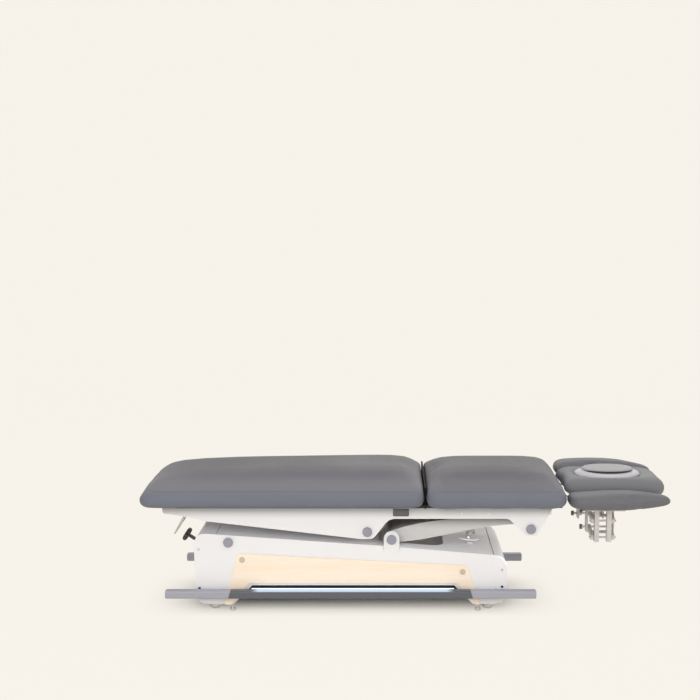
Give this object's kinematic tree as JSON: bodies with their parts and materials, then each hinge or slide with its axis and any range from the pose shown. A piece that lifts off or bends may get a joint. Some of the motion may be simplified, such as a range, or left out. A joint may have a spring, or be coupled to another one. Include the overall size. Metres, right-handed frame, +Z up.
{
  "type": "treatment table",
  "caption": "Height-adjustable treatment table with a raising leg section, a tilting head section, a removable face plug, dropping armrests and castors lowered by a pedal.",
  "frame": {"origin": "centre of the overall footprint, on the floor", "axes": "+X towards the head end, +Z up, -Y towards the side the picture shows"},
  "size_m": [2.0356, 0.7, 0.5303],
  "materials": {
    "base_chassis": "dark lacquer",
    "side_plate_near": "satin white powder coat",
    "side_plate_far": "satin white powder coat",
    "wood_panel_near": "pale maple veneer, satin",
    "wood_panel_far": "pale maple veneer, satin",
    "cover_centre": "fine-grained pale grey",
    "cover_foot": "fine-grained pale grey",
    "cover_head": "fine-grained pale grey",
    "service_lid": "fine-grained pale grey",
    "mains_inlet": "dark",
    "led_strip_near": "translucent light strip",
    "led_strip_far": "translucent light strip",
    "actuator_body": "dark lacquer",
    "levelling_foot_foot_near": "matt black",
    "levelling_foot_foot_far": "matt black",
    "levelling_foot_head_near": "matt black",
    "levelling_foot_head_far": "matt black",
    "pivot_rear_base": "grey end caps on a steel spindle",
    "pivot_front_base": "grey end caps on a steel spindle",
    "rear_lift_arm": "satin white powder coat",
    "front_lift_arm": "satin white powder coat",
    "actuator_rod": "bright zinc",
    "frame_plate_near": "satin white powder coat",
    "frame_plate_far": "satin white powder coat",
    "rail_foot": "satin white powder coat",
    "rail_middle": "satin white powder coat",
    "rail_head": "satin white powder coat",
    "paper_roll_holder": "bright zinc",
    "middle_board": "dark coated board",
    "middle_cushion": "matt grey coated fabric",
    "pivot_rear_top": "grey end caps on a steel spindle",
    "pivot_front_top": "grey end caps on a steel spindle",
    "leg_board": "dark coated board",
    "leg_cushion": "matt grey coated fabric",
    "head_frame": "satin white powder coat",
    "head_board": "dark coated board",
    "head_cushion": "matt grey coated fabric",
    "face_plug": "matt light grey coated fabric",
    "castor_pedal": "dark lacquer",
    "pedal_grip": "dark",
    "armrest_pad_near": "matt grey coated fabric",
    "armrest_bracket_near": "grey lacquer",
    "armrest_link_upper_near": "grey lacquer",
    "armrest_link_lower_near": "grey lacquer",
    "foot_bar_near": "satin slate grey with lighter ends",
    "armrest_pad_far": "matt grey coated fabric",
    "armrest_bracket_far": "grey lacquer",
    "armrest_link_upper_far": "grey lacquer",
    "armrest_link_lower_far": "grey lacquer",
    "foot_bar_far": "satin slate grey with lighter ends",
    "castor_carriage_foot": "dark lacquer",
    "castor_fork_foot_near": "bright zinc",
    "castor_wheel_foot_near": "light grey tread",
    "castor_fork_foot_far": "bright zinc",
    "castor_wheel_foot_far": "light grey tread",
    "castor_carriage_head": "dark lacquer",
    "castor_fork_head_near": "bright zinc",
    "castor_wheel_head_near": "light grey tread",
    "castor_fork_head_far": "bright zinc",
    "castor_wheel_head_far": "light grey tread"
  },
  "bodies": {
    "base": {"base_chassis": "base_chassis", "side_plate_near": "side_plate_near", "side_plate_far": "side_plate_far", "wood_panel_near": "wood_panel_near", "wood_panel_far": "wood_panel_far", "cover_centre": "cover_centre", "cover_foot": "cover_foot", "cover_head": "cover_head", "service_lid": "service_lid", "mains_inlet": "mains_inlet", "led_strip_near": "led_strip_near", "led_strip_far": "led_strip_far", "actuator_body": "actuator_body", "levelling_foot_foot_near": "levelling_foot_foot_near", "levelling_foot_foot_far": "levelling_foot_foot_far", "levelling_foot_head_near": "levelling_foot_head_near", "levelling_foot_head_far": "levelling_foot_head_far", "pivot_rear_base": "pivot_rear_base", "pivot_front_base": "pivot_front_base"},
    "rear_arm": {"rear_lift_arm": "rear_lift_arm"},
    "front_arm": {"front_lift_arm": "front_lift_arm"},
    "lift_rod": {"actuator_rod": "actuator_rod"},
    "top_frame": {"frame_plate_near": "frame_plate_near", "frame_plate_far": "frame_plate_far", "rail_foot": "rail_foot", "rail_middle": "rail_middle", "rail_head": "rail_head", "paper_roll_holder": "paper_roll_holder", "middle_board": "middle_board", "middle_cushion": "middle_cushion", "pivot_rear_top": "pivot_rear_top", "pivot_front_top": "pivot_front_top"},
    "leg_section": {"leg_board": "leg_board", "leg_cushion": "leg_cushion"},
    "head_section": {"head_frame": "head_frame", "head_board": "head_board", "head_cushion": "head_cushion"},
    "plug": {"face_plug": "face_plug"},
    "pedal": {"castor_pedal": "castor_pedal", "pedal_grip": "pedal_grip"},
    "armrest_near": {"armrest_pad_near": "armrest_pad_near", "armrest_bracket_near": "armrest_bracket_near"},
    "link_upper_near": {"armrest_link_upper_near": "armrest_link_upper_near"},
    "link_lower_near": {"armrest_link_lower_near": "armrest_link_lower_near"},
    "bar_near": {"foot_bar_near": "foot_bar_near"},
    "armrest_far": {"armrest_pad_far": "armrest_pad_far", "armrest_bracket_far": "armrest_bracket_far"},
    "link_upper_far": {"armrest_link_upper_far": "armrest_link_upper_far"},
    "link_lower_far": {"armrest_link_lower_far": "armrest_link_lower_far"},
    "bar_far": {"foot_bar_far": "foot_bar_far"},
    "carriage_foot": {"castor_carriage_foot": "castor_carriage_foot"},
    "fork_foot_near": {"castor_fork_foot_near": "castor_fork_foot_near"},
    "wheel_foot_near": {"castor_wheel_foot_near": "castor_wheel_foot_near"},
    "fork_foot_far": {"castor_fork_foot_far": "castor_fork_foot_far"},
    "wheel_foot_far": {"castor_wheel_foot_far": "castor_wheel_foot_far"},
    "carriage_head": {"castor_carriage_head": "castor_carriage_head"},
    "fork_head_near": {"castor_fork_head_near": "castor_fork_head_near"},
    "wheel_head_near": {"castor_wheel_head_near": "castor_wheel_head_near"},
    "fork_head_far": {"castor_fork_head_far": "castor_fork_head_far"},
    "wheel_head_far": {"castor_wheel_head_far": "castor_wheel_head_far"}
  },
  "joints": [
    {"name": "lift", "type": "hinge", "parent": "base", "child": "rear_arm", "pos_m": [-0.694, 0, 0.277], "axis": [0, -1, 0], "range_deg": [0, 68]},
    {"name": "front_arm_turn", "type": "hinge", "parent": "base", "child": "front_arm", "pos_m": [-0.063, 0, 0.288], "axis": [0, -1, 0], "range_deg": [0, 68]},
    {"name": "top_frame_level", "type": "hinge", "parent": "rear_arm", "child": "top_frame", "pos_m": [-0.15659, 0, 0.31835], "axis": [0, -1, 0], "range_deg": [-68, 0]},
    {"name": "lift_rod_stroke", "type": "slide", "parent": "base", "child": "lift_rod", "axis": [1, 0, 0], "range_m": [0, 0.135]},
    {"name": "leg_raise", "type": "hinge", "parent": "top_frame", "child": "leg_section", "pos_m": [0.06625, 0, 0.494], "axis": [0, 1, 0], "range_deg": [0, 65]},
    {"name": "head_tilt", "type": "hinge", "parent": "top_frame", "child": "head_section", "pos_m": [0.61125, 0, 0.445], "axis": [0, 1, 0], "range_deg": [-22, 40]},
    {"name": "plug_lift", "type": "slide", "parent": "head_section", "child": "plug", "axis": [0, 0, 1], "range_m": [0, 0.12]},
    {"name": "armrest_swing_near", "type": "hinge", "parent": "head_section", "child": "link_upper_near", "pos_m": [0.75925, -0.13, 0.374], "axis": [-1, 0, 0], "range_deg": [-20, 30]},
    {"name": "lower_link_turn_near", "type": "hinge", "parent": "head_section", "child": "link_lower_near", "pos_m": [0.75925, -0.13, 0.308], "axis": [-1, 0, 0], "range_deg": [-20, 30]},
    {"name": "armrest_level_near", "type": "hinge", "parent": "link_upper_near", "child": "armrest_near", "pos_m": [0.75925, -0.21693, 0.35071], "axis": [-1, 0, 0], "range_deg": [-30, 20]},
    {"name": "armrest_swing_far", "type": "hinge", "parent": "head_section", "child": "link_upper_far", "pos_m": [0.75925, 0.13, 0.374], "axis": [1, 0, 0], "range_deg": [-45, 5]},
    {"name": "lower_link_turn_far", "type": "hinge", "parent": "head_section", "child": "link_lower_far", "pos_m": [0.75925, 0.13, 0.308], "axis": [1, 0, 0], "range_deg": [-45, 5]},
    {"name": "armrest_level_far", "type": "hinge", "parent": "link_upper_far", "child": "armrest_far", "pos_m": [0.75925, 0.21863, 0.38963], "axis": [1, 0, 0], "range_deg": [-5, 45]},
    {"name": "bar_press_near", "type": "slide", "parent": "base", "child": "bar_near", "axis": [0, 0, 1], "range_m": [-0.006, 0.006], "stiffness_N_per_m": 6000, "springref_m": 0.00106},
    {"name": "bar_press_far", "type": "slide", "parent": "base", "child": "bar_far", "axis": [0, 0, 1], "range_m": [-0.006, 0.006], "stiffness_N_per_m": 6000, "springref_m": 0.00106},
    {"name": "pedal_press", "type": "hinge", "parent": "base", "child": "pedal", "pos_m": [-0.76, 0, 0.165], "axis": [0, -1, 0], "range_deg": [0, 20]},
    {"name": "castor_drop_foot", "type": "slide", "parent": "base", "child": "carriage_foot", "axis": [0, 0, -1], "range_m": [0, 0.012]},
    {"name": "castor_drop_head", "type": "slide", "parent": "base", "child": "carriage_head", "axis": [0, 0, -1], "range_m": [0, 0.012]},
    {"name": "castor_swivel_foot_near", "type": "hinge", "parent": "carriage_foot", "child": "fork_foot_near", "pos_m": [-0.739, -0.222, 0.066], "axis": [0, 0, 1], "continuous": true},
    {"name": "wheel_spin_foot_near", "type": "hinge", "parent": "fork_foot_near", "child": "wheel_foot_near", "pos_m": [-0.754, -0.222, 0.026], "axis": [0, 1, 0], "continuous": true},
    {"name": "castor_swivel_foot_far", "type": "hinge", "parent": "carriage_foot", "child": "fork_foot_far", "pos_m": [-0.739, 0.222, 0.066], "axis": [0, 0, 1], "continuous": true},
    {"name": "wheel_spin_foot_far", "type": "hinge", "parent": "fork_foot_far", "child": "wheel_foot_far", "pos_m": [-0.754, 0.222, 0.026], "axis": [0, 1, 0], "continuous": true},
    {"name": "castor_swivel_head_near", "type": "hinge", "parent": "carriage_head", "child": "fork_head_near", "pos_m": [0.33, -0.222, 0.066], "axis": [0, 0, 1], "continuous": true},
    {"name": "wheel_spin_head_near", "type": "hinge", "parent": "fork_head_near", "child": "wheel_head_near", "pos_m": [0.315, -0.222, 0.026], "axis": [0, 1, 0], "continuous": true},
    {"name": "castor_swivel_head_far", "type": "hinge", "parent": "carriage_head", "child": "fork_head_far", "pos_m": [0.33, 0.222, 0.066], "axis": [0, 0, 1], "continuous": true},
    {"name": "wheel_spin_head_far", "type": "hinge", "parent": "fork_head_far", "child": "wheel_head_far", "pos_m": [0.315, 0.222, 0.026], "axis": [0, 1, 0], "continuous": true}
  ],
  "couplings": [
    {"joint": "front_arm_turn", "follows": "lift", "ratio": 1},
    {"joint": "top_frame_level", "follows": "lift", "ratio": -1},
    {"joint": "lift_rod_stroke", "follows": "lift", "m_per_rad": 0.11308},
    {"joint": "lower_link_turn_near", "follows": "armrest_swing_near", "ratio": 1},
    {"joint": "armrest_level_near", "follows": "armrest_swing_near", "ratio": -1},
    {"joint": "lower_link_turn_far", "follows": "armrest_swing_far", "ratio": 1},
    {"joint": "armrest_level_far", "follows": "armrest_swing_far", "ratio": -1},
    {"joint": "castor_drop_foot", "follows": "pedal_press", "m_per_rad": 0.03435},
    {"joint": "castor_drop_head", "follows": "pedal_press", "m_per_rad": 0.03435}
  ]
}
